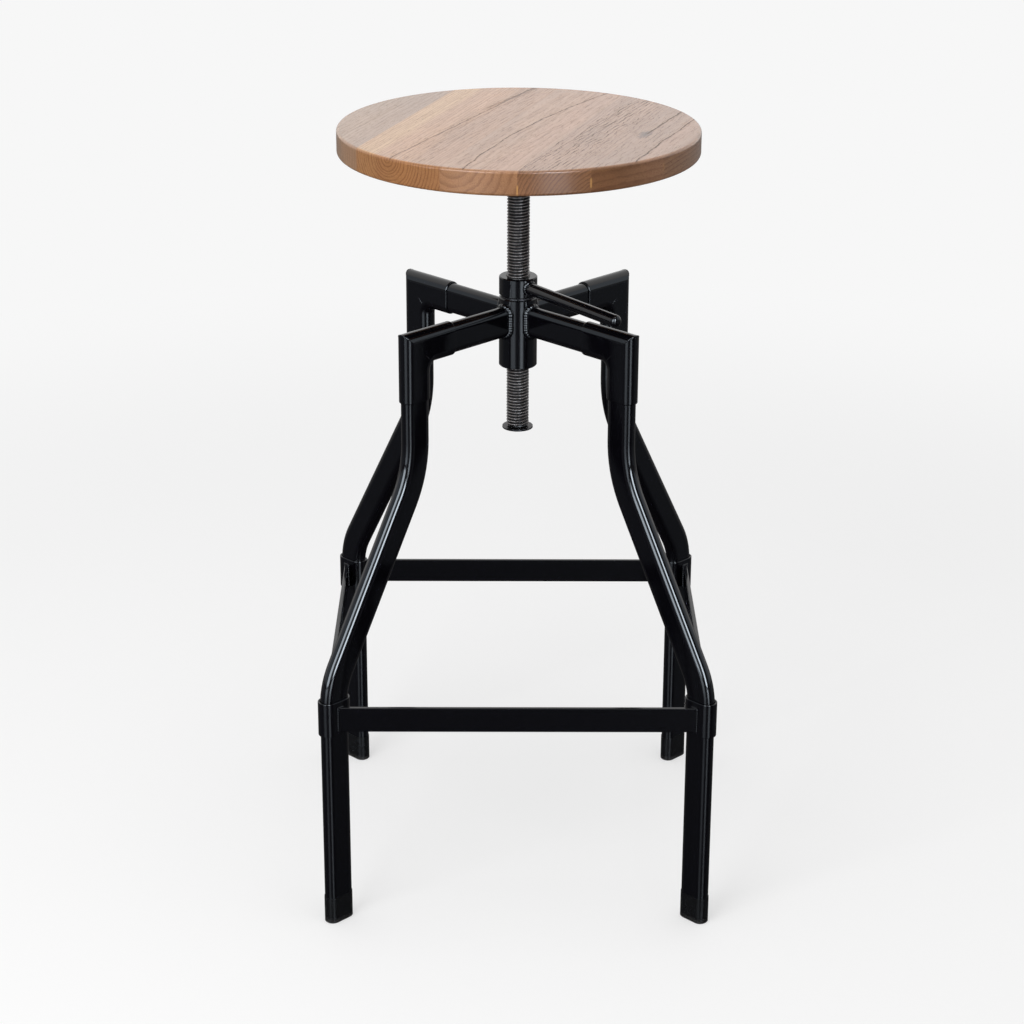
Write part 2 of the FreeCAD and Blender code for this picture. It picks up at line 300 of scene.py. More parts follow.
def wood_fibre_group():
    """Fine streaks along the grain, short dark pores, broad cloudy patches and cross figure."""
    inputs = {"Across": 0.0, "Along": 0.0, "Height": 0.0, "Seed": 0.0}
    tree, nodes, start, end = new_group("wood fibre", inputs, ["Streaks", "Pores", "Clouds", "Figure"])

    def stretched(across, along, height):
        return nodes.combine(nodes.math("MULTIPLY_ADD", start["Across"], across, start["Seed"]),
                             nodes.math("MULTIPLY", start["Along"], along),
                             nodes.math("MULTIPLY", start["Height"], height))

    nodes.plug(end["Streaks"], nodes.noise(stretched(0.75, 0.018, 0.75), 1.0, 4.0, 0.65))
    pores = nodes.noise(stretched(1.7, 0.11, 1.7), 1.0, 2.0, 0.6)
    nodes.plug(end["Pores"], nodes.ramp(pores, 0.60, 0.68))
    nodes.plug(end["Clouds"], nodes.noise(stretched(0.035, 0.009, 0.035), 1.0, 2.0, 0.5))
    nodes.plug(end["Figure"], nodes.noise(stretched(0.10, 0.16, 0.10), 1.0, 3.0, 0.6))
    return tree


def grain_line_group():
    """One dark wavy line along the grain, sharp on one side and fading on the other."""
    inputs = {"Across": 0.0, "Along": 0.0, "Place": 0.0, "Slope": 0.0, "Bow": 0.0, "Width": 1.5,
              "Waviness": 1.5, "From": -400.0, "To": 400.0}
    tree, nodes, start, end = new_group("grain line", inputs, ["Line"])
    along = start["Along"]
    course = nodes.math("MULTIPLY_ADD", nodes.math("MULTIPLY", along, along), start["Bow"], start["Place"])
    course = nodes.math("MULTIPLY_ADD", along, start["Slope"], course)
    slow = nodes.combine(start["Place"], nodes.math("MULTIPLY", along, 0.035), 0.0)
    slow = nodes.noise(slow, 1.0, 3.0, 0.55)
    course = nodes.math("MULTIPLY_ADD", nodes.math("SUBTRACT", slow, 0.5),
                        nodes.math("MULTIPLY", start["Waviness"], 4.0), course)
    offset = nodes.math("SUBTRACT", start["Across"], course)
    rise = nodes.ramp(offset, -0.45, 0.05)
    fall = nodes.ramp(nodes.math("DIVIDE", offset, start["Width"]), 0.0, 1.0, 1.0, 0.0)
    broken = nodes.combine(start["Place"], nodes.math("MULTIPLY", along, 0.17), 3.0)
    broken = nodes.noise(broken, 1.0, 3.0, 0.7)
    strength = nodes.ramp(broken, 0.30, 0.60, 0.35, 1.0)
    line = nodes.math("MULTIPLY", nodes.math("MULTIPLY", rise, fall), strength)
    first = nodes.ramp(nodes.math("SUBTRACT", along, start["From"]), 0.0, 14.0)
    last = nodes.ramp(nodes.math("SUBTRACT", start["To"], along), 0.0, 14.0)
    nodes.plug(end["Line"], nodes.math("MULTIPLY", line, nodes.math("MULTIPLY", first, last)))
    return tree


def combed_lines_group():
    """Many short dark lines side by side along the grain, as a comb would draw them."""
    inputs = {"Across": 0.0, "Along": 0.0, "Slope": 0.0, "Pitch": 5.0, "First": 0.0, "Last": 40.0}
    tree, nodes, start, end = new_group("combed lines", inputs, ["Line"])
    along = start["Along"]
    slow = nodes.noise(nodes.combine(start["First"], nodes.math("MULTIPLY", along, 0.028), 0.0), 1.0, 2.0)
    quick = nodes.noise(nodes.combine(nodes.math("MULTIPLY", start["Across"], 0.12),
                                      nodes.math("MULTIPLY", along, 0.09), start["Pitch"]), 1.0, 2.0)
    course = nodes.math("SUBTRACT", start["Across"], nodes.math("MULTIPLY", along, start["Slope"]))
    course = nodes.math("MULTIPLY_ADD", nodes.math("SUBTRACT", slow, 0.5), 9.0, course)
    course = nodes.math("MULTIPLY_ADD", nodes.math("SUBTRACT", quick, 0.5), 3.0, course)
    count = nodes.math("DIVIDE", course, start["Pitch"])
    phase = nodes.math("FRACT", count)
    line = nodes.math("MULTIPLY", nodes.ramp(phase, 0.0, 0.09), nodes.ramp(phase, 0.40, 0.12))
    cell = nodes.math("MULTIPLY", nodes.math("FLOOR", count), 3.7)
    broken = nodes.noise(nodes.combine(cell, nodes.math("MULTIPLY", along, 0.045), 7.0), 1.0, 3.0, 0.6)
    line = nodes.math("MULTIPLY", line, nodes.ramp(broken, 0.42, 0.60))
    inside = nodes.math("MULTIPLY", nodes.ramp(nodes.math("SUBTRACT", course, start["First"]), -2.0, 2.0),
                        nodes.ramp(nodes.math("SUBTRACT", start["Last"], course), -2.0, 2.0))
    nodes.plug(end["Line"], nodes.math("MULTIPLY", line, inside))
    return tree


def edge_wear_group():
    """Where an outer edge has been rubbed, from how far the surface turns within a small reach."""
    tree, nodes, start, end = new_group(
        "edge wear", {"Vector": None, "Surface": None, "Reach": 0.5 * MM, "Patchiness": 60.0}, ["Wear"])
    rounded = nodes.add("ShaderNodeBevel", {"Radius": start["Reach"]}, samples=4).outputs[0]
    turn = nodes.math("SUBTRACT", 1.0, nodes.vector("DOT_PRODUCT", rounded, start["Surface"]))
    edge = nodes.ramp(turn, 0.03, 0.22)
    patches = nodes.ramp(nodes.noise(start["Vector"], start["Patchiness"], 3.0, 0.6), 0.42, 0.62)
    nodes.plug(end["Wear"], nodes.math("MULTIPLY", edge, patches))
    return tree


def orange_peel_group():
    """The faint waviness of a sprayed or moulded skin, and the uneven gloss that goes with it."""
    inputs = {"Vector": None, "Wave Size": 3.0 * MM, "Depth": 0.004 * MM, "Gloss": 0.12, "Spread": 0.05}
    tree, nodes, start, end = new_group("orange peel", inputs, ["Normal", "Roughness", "Specks"])
    scale = nodes.math("DIVIDE", 1.0, start["Wave Size"])
    wave = nodes.noise(start["Vector"], scale, 2.0, 0.45)
    nodes.plug(end["Normal"], nodes.bump(wave, 1.0, start["Depth"]))
    haze = nodes.noise(start["Vector"], 22.0, 4.0, 0.6)
    haze = nodes.math("MULTIPLY", nodes.math("SUBTRACT", haze, 0.5),
                      nodes.math("MULTIPLY", start["Spread"], 3.0))
    nodes.plug(end["Roughness"], nodes.math("ADD", start["Gloss"], haze))
    specks = nodes.noise(start["Vector"], 420.0, 2.0, 0.6)
    nodes.plug(end["Specks"], nodes.ramp(specks, 0.70, 0.78))
    return tree


# Metal and plastic finishes

COAT_BLACK = (0.0020, 0.0018, 0.0030, 1)
COAT_SPECK = (0.010, 0.010, 0.012, 1)
COAT_RUBBED = (0.030, 0.030, 0.034, 1)
THREAD_OIL = srgb(18, 17, 18)
THREAD_GREASE = srgb(34, 32, 32)
THREAD_BRIGHT = srgb(158, 152, 150)
STEEL_EDGE = srgb(176, 174, 172)
CAP_BLACK = (0.0055, 0.0055, 0.006, 1)
CAP_SPECK = (0.03, 0.03, 0.03, 1)
CAP_SCUFF = srgb(78, 76, 74)
CAP_SCUFF_LOW = 0.5 * MM
CAP_SCUFF_HIGH = 7 * MM


def black_coat(groups):
    """Glossy black powder coat, hazy in places and rubbed at its edges."""
    material, nodes, shader, point = new_material("glossy black powder coat")
    peel = nodes.place(groups["peel"], Vector=point["Object"], Wave_Size=2.6 * MM, Depth=0.0045 * MM,
                       Gloss=0.095, Spread=0.03)
    surface = nodes.add("ShaderNodeNewGeometry").outputs["Normal"]
    wear = nodes.place(groups["wear"], Vector=point["Object"], Surface=surface, Reach=0.5 * MM)["Wear"]
    colour = nodes.blend(peel["Specks"], COAT_BLACK, COAT_SPECK)
    colour = nodes.blend(nodes.math("MULTIPLY", wear, 0.5), colour, COAT_RUBBED)
    nodes.plug(shader.inputs["Base Color"], colour)
    rough = nodes.math("ADD", peel["Roughness"], nodes.math("MULTIPLY", wear, 0.12))
    nodes.plug(shader.inputs["Roughness"], rough)
    nodes.plug(shader.inputs["Normal"], peel["Normal"])
    shader.inputs["Specular IOR Level"].default_value = 0.5
    return material


def thread_steel():
    """Dark oiled steel, black in the roots of the thread, with a painted highlight on its crests that is
    partly rubbed steel.
    """
    material, nodes, shader, point = new_material("dark oiled thread")
    sides = nodes.separate(point["Object"])
    radius = nodes.vector("LENGTH", nodes.combine(sides["X"], sides["Y"], 0.0))
    # The crests get a painted highlight, partly bright rubbed steel, and are made a little more metallic.
    crest = nodes.ramp(radius, CREST_RUB_AND_HIGHLIGHT_FROM, CREST_RUB_AND_HIGHLIGHT_TO)
    smear = nodes.noise(point["Object"], 160.0, 4.0, 0.65)
    rubbed_and_highlit = nodes.math("MULTIPLY", crest, nodes.ramp(smear, 0.30, 0.62, 0.35, 1.0))
    oil = nodes.blend(nodes.noise(point["Object"], 45.0, 3.0), THREAD_OIL, THREAD_GREASE)
    nodes.plug(shader.inputs["Base Color"], nodes.blend(rubbed_and_highlit, oil, THREAD_BRIGHT))
    nodes.plug(shader.inputs["Metallic"], nodes.math("MULTIPLY_ADD", rubbed_and_highlit, 0.2, 0.35))
    nodes.plug(shader.inputs["Roughness"], nodes.math("MULTIPLY_ADD", smear, 0.20, 0.28))
    marks = nodes.noise(nodes.vector("MULTIPLY", point["Object"], (500, 500, 2600)), 1.0, 2.0)
    nodes.plug(shader.inputs["Normal"], nodes.bump(marks, 0.3, 0.008 * MM))
    return material


def turned_steel(groups, name, dull, bright, gloss):
    """Plain steel with turning marks round the spindle's axis and rubbed edges."""
    material, nodes, shader, point = new_material(name)
    sides = nodes.separate(point["Object"])
    radius = nodes.vector("LENGTH", nodes.combine(sides["X"], sides["Y"], 0.0))
    marks = nodes.noise(nodes.combine(nodes.math("MULTIPLY", radius, 2600.0),
                                      nodes.math("MULTIPLY", sides["Z"], 900.0), 0.0), 1.0, 3.0, 0.6)
    stain = nodes.noise(point["Object"], 110.0, 4.0, 0.6)
    surface = nodes.add("ShaderNodeNewGeometry").outputs["Normal"]
    wear = nodes.place(groups["wear"], Vector=point["Object"], Surface=surface, Reach=0.4 * MM)["Wear"]
    colour = nodes.blend(nodes.ramp(stain, 0.30, 0.70), dull, bright)
    nodes.plug(shader.inputs["Base Color"], nodes.blend(wear, colour, STEEL_EDGE))
    shader.inputs["Metallic"].default_value = 0.9
    nodes.plug(shader.inputs["Roughness"], nodes.math("MULTIPLY_ADD", stain, 0.2, gloss))
    nodes.plug(shader.inputs["Normal"], nodes.bump(marks, 0.35, 0.01 * MM))
    return material


def cap_plastic(groups):
    """Smooth black plastic of the foot caps, scuffed grey where it meets the floor."""
    material, nodes, shader, point = new_material("black cap plastic")
    peel = nodes.place(groups["peel"], Vector=point["Object"], Wave_Size=1.4 * MM, Depth=0.006 * MM,
                       Gloss=0.26, Spread=0.08)
    height = nodes.separate(point["Object"])["Z"]
    scratches = nodes.noise(nodes.vector("MULTIPLY", point["Object"], (260, 260, 1400)), 1.0, 4.0, 0.7)
    low = nodes.ramp(height, CAP_SCUFF_HIGH, CAP_SCUFF_LOW)
    scuff = nodes.math("MULTIPLY", low, nodes.ramp(scratches, 0.42, 0.62))
    colour = nodes.blend(peel["Specks"], CAP_BLACK, CAP_SPECK)
    colour = nodes.blend(nodes.math("MULTIPLY", scuff, 0.7), colour, CAP_SCUFF)
    nodes.plug(shader.inputs["Base Color"], colour)
    nodes.plug(shader.inputs["Roughness"], nodes.math("MULTIPLY_ADD", scuff, 0.3, peel["Roughness"]))
    nodes.plug(shader.inputs["Normal"], peel["Normal"])
    shader.inputs["Specular IOR Level"].default_value = 0.35
    return material


# Wood

def new_board(pith, spacing, light, dark, **more):
    """What one board needs: its pith, its ring spacing, its two colours and its own features."""
    board = {"pith": pith, "spacing": spacing, "light": light, "dark": dark, "sway": 2.0,
             "unevenness": 0.6, "ring": 0.6, "end": 0.35, "lines": [], "combs": [], "tones": [], "glue": [],
             "knot": None}
    board.update(more)
    return board


# Places are in millimetres across the boards, or along their grain, from the middle of the seat.
# A pith is (across, height). A line is (place, slope, bow, width, strength, from, to), a comb of
# lines is (slope, pitch, first, last, strength) and a tone is (low, high, blur, colour, strength).
# Glue is (seam, height of its middle, its half height), and a knot is (across, along, half width,
# half length).
# A board's end is how strongly its end grain takes the end stain. It is raised on the right-hand boards 4, 5
# and 6, partly for their darker end grain and partly as painted shade on the right of the rim.
BOARDS = {
    1: new_board((-196, 742), 4.2, srgb(176, 138, 106), srgb(128, 90, 64), ring=0.45, end=0.2,
                 lines=[(-140, 0.03, 0, 1.8, 0.30, -90, 60), (-128, 0.02, 0, 1.4, 0.22, -60, 120)],
                 combs=[(0.03, 5.6, -160, -116, 0.30)],
                 tones=[(-136, -108, 10, srgb(158, 120, 96), 0.3)]),
    2: new_board((-72, 750), 3.2, srgb(192, 138, 90), srgb(124, 76, 42), ring=0.65, sway=1.2, end=0.6,
                 lines=[(-56, 0.09, 0, 2.6, 0.80, -400, 400), (-51, 0.085, 0, 1.6, 0.55, -60, 400),
                        (-65, 0.15, 0, 7.0, 0.55, 50, 400), (-41, 0.08, 0, 1.8, 0.35, -110, 40)],
                 combs=[(0.09, 5.5, -62, -18, 0.40), (0.06, 6.0, -104, -66, 0.20)],
                 tones=[(-112, -84, 9, srgb(216, 168, 112), 0.75), (-88, -62, 8, srgb(204, 150, 104), 0.5),
                        (-48, -16, 10, srgb(172, 126, 92), 0.5)]),
    3: new_board((-3, 759), 7.5, srgb(184, 136, 97), srgb(122, 78, 50), ring=0.45,
                 lines=[(7.5, 0.094, 0.00049, 2.4, 0.95, -400, 400), (-10, 0.06, 0.0002, 1.6, 0.35, -40, 90),
                        (36, 0.09, 0, 1.6, 0.35, -400, 60)],
                 combs=[(0.09, 6.2, -12, 48, 0.35)],
                 tones=[(22, 52, 9, srgb(192, 138, 104), 0.35)], glue=[(54, 734, 6)]),
    4: new_board((140, 700), 3.0, srgb(172, 126, 90), srgb(110, 70, 48), ring=0.7, unevenness=0.9, end=0.75,
                 lines=[(66, 0.07, 0, 1.7, 0.60, -400, 150), (76, 0.06, 0, 1.6, 0.50, -90, 150)],
                 combs=[(0.065, 4.2, 56, 98, 0.85), (0.06, 5.0, 98, 111, 0.35)],
                 tones=[(54, 66, 6, srgb(176, 128, 94), 0.5)], glue=[(54, 734, 6), (112, 738, 6)]),
    5: new_board((150, 560), 9.0, srgb(168, 124, 90), srgb(112, 72, 50), ring=0.4, end=1.0,
                 lines=[(121, 0.055, 0, 2.8, 1.0, 6, 400), (144.3, 0.033, 0, 2.2, 1.0, -400, 400),
                        (131, 0.03, 0, 1.3, 0.35, -70, 60)],
                 combs=[(0.04, 5.2, 114, 158, 0.35)],
                 tones=[(145, 162, 3, srgb(176, 128, 94), 0.6)], glue=[(112, 738, 6), (160, 741, 5)],
                 knot=(121, 9, 7.5, 22)),
    6: new_board((190, 690), 4.0, srgb(168, 124, 90), srgb(108, 70, 48), ring=0.5, end=0.9,
                 glue=[(160, 741, 5)]),
}
SEED_STEP = 7.3
CLOUD_SHADE = 0.86
GLUE_COLOUR = srgb(214, 160, 92)
KNOT_COLOUR = srgb(66, 40, 28)
PORE_COLOUR = srgb(48, 30, 20)
END_STAIN_AND_SHADE = (0.62, 0.55, 0.48, 1)


def knot_masks(nodes, knot, across, along):
    """How far the rings bulge round a knot, and its dark smudge."""
    centre, middle, half_width, half_length = knot
    sideways = nodes.math("DIVIDE", nodes.math("SUBTRACT", across, centre), half_width)
    lengthways = nodes.math("DIVIDE", nodes.math("SUBTRACT", along, middle), half_length)
    distance = nodes.vector("LENGTH", nodes.combine(sideways, lengthways, 0.0))
    ragged = nodes.noise(nodes.combine(nodes.math("MULTIPLY", across, 0.45),
                                       nodes.math("MULTIPLY", along, 0.14), 5.0), 1.0, 4.0, 0.7)
    distance = nodes.math("MULTIPLY_ADD", nodes.math("SUBTRACT", ragged, 0.5), 1.6, distance)
    bulge = nodes.ramp(distance, 2.6, 0.0, 0.0, 14.0)
    smudge = nodes.ramp(distance, 1.0, 0.15)
    return bulge, smudge


def ground_colour(nodes, board, spot, fibre):
    """The board's own colour, cloudy, with its tones and the streaks of its fibre."""
    shaded = tuple(CLOUD_SHADE * part for part in board["light"][:3]) + (1,)
    colour = nodes.blend(nodes.ramp(fibre["Clouds"], 0.35, 0.65), board["light"], shaded)
    wander = nodes.math("SUBTRACT", fibre["Clouds"], 0.5)
    for low, high, blur, tone, strength in board["tones"]:
        loose = nodes.math("MULTIPLY_ADD", wander, 18.0, spot["Across"])
        inside = nodes.math("MULTIPLY", nodes.ramp(loose, low - blur / 2, low + blur / 2),
                            nodes.ramp(loose, high + blur / 2, high - blur / 2))
        faded = nodes.math("MULTIPLY_ADD", spot["End"], -0.7 * strength, strength)
        colour = nodes.blend(nodes.math("MULTIPLY", inside, faded), colour, tone)
    streaks = nodes.math("MULTIPLY", nodes.ramp(fibre["Streaks"], 0.38, 0.66), 0.22)
    return nodes.blend(streaks, colour, board["dark"])


def late_wood(nodes, board, spot, rings, fibre):
    """How dark the rings are, less so on the top than on the rim."""
    late = nodes.math("MULTIPLY", rings["Late"], board["ring"])
    late = nodes.math("MULTIPLY", late, nodes.ramp(fibre["Figure"], 0.30, 0.55, 0.45, 1.0))
    return nodes.math("MULTIPLY", late, nodes.math("MULTIPLY_ADD", spot["Top"], -0.45, 1.0))


def drawn_lines(nodes, board, groups, spot, here):
    """How dark each line and each comb of lines is. They show on the top alone."""
    lines = []
    for centre, slope, bow, width, strength, first, last in board["lines"]:
        line = nodes.place(groups["line"], Place=centre, Slope=slope, Bow=bow, Width=width,
                           From=first, To=last, **here)["Line"]
        lines.append((line, strength))
    for slope, pitch, first, last, strength in board["combs"]:
        line = nodes.place(groups["comb"], Slope=slope, Pitch=pitch, First=first, Last=last,
                           **here)["Line"]
        lines.append((line, strength))
    return [nodes.math("MULTIPLY", nodes.math("MULTIPLY", line, strength), spot["Top"])
            for line, strength in lines]


def end_grain(nodes, board, spot, colour):
    """End grain drinks more of the stain, and dried glue shows in the joints there. On the right-hand boards
    the stain is stronger, partly as painted shade on the right of the rim.
    """
    # End stain, which on the right-hand boards is partly painted shade.
    colour = nodes.blend(nodes.math("MULTIPLY", spot["End"], board["end"]), colour, END_STAIN_AND_SHADE,
                         mode="MULTIPLY")
    for seam, middle, half in board["glue"]:
        beside = nodes.math("ABSOLUTE", nodes.math("SUBTRACT", spot["Across"], seam))
        above = nodes.math("ABSOLUTE", nodes.math("SUBTRACT", spot["Height"], middle))
        streak = nodes.math("MULTIPLY", nodes.ramp(beside, 1.0, 0.3), nodes.ramp(above, half, 0.4 * half))
        streak = nodes.math("MULTIPLY", streak, spot["End"])
        colour = nodes.blend(nodes.math("MULTIPLY", streak, 0.65), colour, GLUE_COLOUR)
    return colour


def lay_varnish(nodes, shader, spot, fibre, late, marks):
    """Varnish sinks into pores and dark lines, so they shine less than the wood beside them."""
    relief = nodes.math("MULTIPLY_ADD", marks, -0.8, nodes.math("MULTIPLY", late, -0.4))
    relief = nodes.math("MULTIPLY_ADD", fibre["Streaks"], 0.35, relief)
    nodes.plug(shader.inputs["Normal"], nodes.bump(relief, 0.5, 0.05 * MM))
    rough = nodes.math("MULTIPLY_ADD", fibre["Streaks"], 0.16, 0.24)
    nodes.plug(shader.inputs["Roughness"], nodes.math("MULTIPLY_ADD", marks, 0.45, rough))
    varnish = nodes.math("MULTIPLY_ADD", spot["End"], -0.62, 0.85)
    unsunk = nodes.math("MULTIPLY_ADD", marks, -0.9, 1.0)
    nodes.plug(shader.inputs["Coat Weight"], nodes.math("MULTIPLY", varnish, unsunk))
    shader.inputs["Coat Roughness"].default_value = 0.22


def wood(number, groups):
    """One board of the seat, with the grain and the features that are its own."""
    board = BOARDS[number]
    material, nodes, shader, point = new_material(f"varnished board {number}")
    spot = nodes.place(groups["board"], Vector=point["Object"], Surface=point["Normal"])
    here = {"Across": spot["Across"], "Along": spot["Along"]}
    seed = number * SEED_STEP
    bulge = 0.0
    smudge = None
    if board["knot"]:
        bulge, smudge = knot_masks(nodes, board["knot"], spot["Across"], spot["Along"])
    rings = nodes.place(groups["rings"], Height=spot["Height"], Pith_Across=board["pith"][0],
                        Pith_Height=board["pith"][1], Spacing=board["spacing"], Sway=board["sway"],
                        Unevenness=board["unevenness"], Seed=seed, Bulge=bulge, **here)
    fibre = nodes.place(groups["fibre"], Height=spot["Height"], Seed=seed, **here)

    late = late_wood(nodes, board, spot, rings, fibre)
    colour = nodes.blend(late, ground_colour(nodes, board, spot, fibre), board["dark"])
    marks = nodes.math("MULTIPLY", nodes.math("MULTIPLY", late, spot["Top"]), 0.4)
    for shown in drawn_lines(nodes, board, groups, spot, here):
        colour = nodes.blend(shown, colour, PORE_COLOUR)
        marks = nodes.math("MAXIMUM", marks, shown)
    if smudge:
        colour = nodes.blend(nodes.math("MULTIPLY", smudge, 0.75), colour, KNOT_COLOUR)
    pores = nodes.math("MULTIPLY", fibre["Pores"], 0.5)
    colour = nodes.blend(pores, colour, PORE_COLOUR)
    marks = nodes.math("MAXIMUM", marks, pores)
    nodes.plug(shader.inputs["Base Color"], end_grain(nodes, board, spot, colour))
    lay_varnish(nodes, shader, spot, fibre, late, marks)
    return material


# New pieces

def finish_piece(bm, name, body, material, crease=BEAD_CREASE):
    """A bmesh as a finished piece that rides on a body."""
    bmesh.ops.recalc_face_normals(bm, faces=bm.faces)
    mesh = bpy.data.meshes.new(name)
    bm.to_mesh(mesh)
    bm.free()
    mesh.shade_smooth()
    mesh.set_sharp_from_angle(angle=crease)
    piece = bpy.data.objects.new(name, mesh)
    bpy.context.scene.collection.objects.link(piece)
    mesh.materials.append(material)
    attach(piece, body)
    return piece


def cut_end(bm, height, direction):
    """Cuts a closed shape square at one height and closes the cut."""
    everything = bm.verts[:] + bm.edges[:] + bm.faces[:]
    bmesh.ops.bisect_plane(bm, geom=everything, plane_co=(0, 0, height), plane_no=(0, 0, direction),
                           clear_outer=True)
    rim = [edge for edge in bm.edges if edge.is_boundary]
    rim = [edge for edge in rim if all(abs(v.co.z - height) < TINY for v in edge.verts)]
    bmesh.ops.holes_fill(bm, edges=rim, sides=0)


def threaded_spindle(material):
    """A turn of thread, stacked up to the plate, with a chamfered foot and the tenon above."""
    low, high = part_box("spindle")
    bottom = low[2]
    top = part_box("seat_plate")[0][2]
    crest = (high[0] - low[0]) / 2
    root = crest - THREAD_DEPTH
    flank = (THREAD_PITCH - THREAD_ROOT_FLAT - THREAD_CREST_FLAT) / 2
    start = bottom - THREAD_PITCH
    bm = bmesh.new()
    outline = [(root, 0.0), (root, THREAD_ROOT_FLAT), (crest, THREAD_ROOT_FLAT + flank),
               (crest, THREAD_PITCH - flank), (root, THREAD_PITCH)]
    points = [bm.verts.new((radius, 0, start + rise)) for radius, rise in outline]
    lines = [bm.edges.new(pair) for pair in zip(points, points[1:])]
    bmesh.ops.spin(bm, geom=points + lines, axis=(0, 0, 1), cent=(0, 0, 0),
                   dvec=(0, 0, THREAD_PITCH / THREAD_STEPS), angle=math.tau,
                   steps=THREAD_STEPS, use_merge=False, use_duplicate=False)
    # Each pass doubles the stack of turns.
    turns = 1
    while turns * THREAD_PITCH < top - start + THREAD_PITCH:
        stack = bmesh.ops.duplicate(bm, geom=bm.verts[:] + bm.edges[:] + bm.faces[:])["geom"]
        copied = [item for item in stack if isinstance(item, bmesh.types.BMVert)]
        bmesh.ops.translate(bm, verts=copied, vec=(0, 0, turns * THREAD_PITCH))
        turns *= 2
    bmesh.ops.remove_doubles(bm, verts=bm.verts, dist=TINY)
    cut_end(bm, top, 1)
    cut_end(bm, bottom, -1)
    # The foot gets its chamfer from a cone, which no point may stand out of.
    for vertex in bm.verts:
        allowed = crest - SPINDLE_CHAMFER + max(vertex.co.z - bottom, 0.0)
        radius = vertex.co.xy.length
        if radius > allowed:
            vertex.co.xy *= allowed / radius
    tenon = Matrix.Translation((0, 0, (top + high[2]) / 2))
    bmesh.ops.create_cone(bm, cap_ends=True, segments=TENON_SIDES, radius1=TENON_DIAMETER / 2,
                          radius2=TENON_DIAMETER / 2, depth=high[2] - top, matrix=tenon)
    piece = finish_piece(bm, "threaded_spindle", "seat", material, THREAD_CREASE)
    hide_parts("spindle")


def evenly(path, closed):
    """The same path with a point every bead step."""
    corners = path + path[:1] if closed else path
    points = []
    for first, last in zip(corners, corners[1:]):
        count = max(1, round((last - first).length / BEAD_STEP))
        points += [first.lerp(last, i / count) for i in range(count)]
    return points if closed else points + [corners[-1]]


def lay_bead(bm, path, radius, closed=False):
    """A weld bead: a small ring carried along a path, swelling and drawing in at each ripple."""
    points = evenly(path, closed)
    count = len(points)
    travel = 0.0
    heading = None
    turn = None
    previous = None
    first_edges = None
    for i, here in enumerate(points):
        before = points[i - 1] if i or closed else here
        after = points[(i + 1) % count] if i + 1 < count or closed else here
        new_heading = (after - before).normalized()
        # The ring turns no further than its path does, so the bead doesn't twist.
        if turn is None:
            turn = new_heading.to_track_quat("Z", "Y")
        else:
            turn = heading.rotation_difference(new_heading) @ turn
        heading = new_heading
        travel += (here - points[i - 1]).length if i else 0.0
        swell = 1 + RIPPLE_DEPTH * math.cos(math.tau * travel / RIPPLE_PITCH)
        if not closed:
            swell *= 1 - BEAD_TAPER + BEAD_TAPER * math.sin(math.pi * (i + 0.5) / count) ** 0.5
        place = Matrix.Translation(here) @ turn.to_matrix().to_4x4() @ Matrix.Scale(swell, 4)
        if previous is None:
            made = bmesh.ops.create_circle(bm, cap_ends=False, segments=BEAD_SIDES, radius=radius,
                                           matrix=place)["verts"]
            edges = list({edge for vertex in made for edge in vertex.link_edges})
            first_edges = edges
        else:
            grown = bmesh.ops.extrude_edge_only(bm, edges=edges)["geom"]
            made = [item for item in grown if isinstance(item, bmesh.types.BMVert)]
            edges = [item for item in grown if isinstance(item, bmesh.types.BMEdge)
                     and all(vertex in made for vertex in item.verts)]
            bmesh.ops.transform(bm, matrix=place @ previous.inverted(), verts=made)
        previous = place
    if closed:
        bmesh.ops.bridge_loops(bm, edges=first_edges + edges)
    else:
        bmesh.ops.holes_fill(bm, edges=first_edges + edges, sides=0)


def at_corner(turn, radial, sideways, height):
    """A point by its place in the upright plane of a leg or of the handle, and beside that plane."""
    return Matrix.Rotation(turn, 3, "Z") @ Vector((radial, sideways, height))


def around(count):
    """The angles of points spaced evenly round a circle."""
    return [math.tau * i / count for i in range(count)]


def hub_joint(arm_height, hub_radius):
    """Round an arm where it meets the hub."""
    path = []
    for angle in around(40):
        sideways = ARM_END_RADIUS * math.cos(angle)
        rise = ARM_END_RADIUS * math.sin(angle) + math.copysign(ARM_HALF_FLAT, math.sin(angle))
        radial = math.sqrt(hub_radius ** 2 - sideways ** 2) + HUB_BEAD_OUT
        path.append(at_corner(FIRST_CORNER, radial, sideways, arm_height + rise))
    return path


def elbow_joint(arm_height):
    """Over the outer corner of a sleeve, along its mitre."""
    path = []
    for i in range(ELBOW_STEPS):
        angle = math.pi * (i + 0.5) / ELBOW_STEPS
        sideways = (SLEEVE_END_RADIUS - ELBOW_BEAD_SUNK) * math.cos(angle)
        out = SLEEVE_HALF_FLAT + (SLEEVE_END_RADIUS - ELBOW_BEAD_SUNK) * math.sin(angle)
        path.append(at_corner(FIRST_CORNER, LEG_TOP_RADIUS + out, sideways, arm_height + out))
    return path


def inner_joint(arm_height, side):
    """Up a side of a sleeve from its inner corner, along the mitre."""
    path = []
    sideways = side * (SLEEVE_END_RADIUS - ELBOW_BEAD_SUNK)
    for out in (INNER_BEAD_LOW, INNER_BEAD_HIGH):
        path.append(at_corner(FIRST_CORNER, LEG_TOP_RADIUS + out, sideways, arm_height + out))
    return path


def bar_joint(side):
    """Round the end of a foot bar where it meets the side of a collar."""
    low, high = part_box("foot_bar_right")
    beside = (high[0] - high[1]) / math.sqrt(2)
    inner = math.sqrt(2) * low[0] - beside
    outer = math.sqrt(2) * high[0] - beside
    corners = ((inner, low[2]), (outer, low[2]), (outer, high[2]), (inner, high[2]))
    return [at_corner(FIRST_CORNER, radial, side * beside, height) for radial, height in corners]


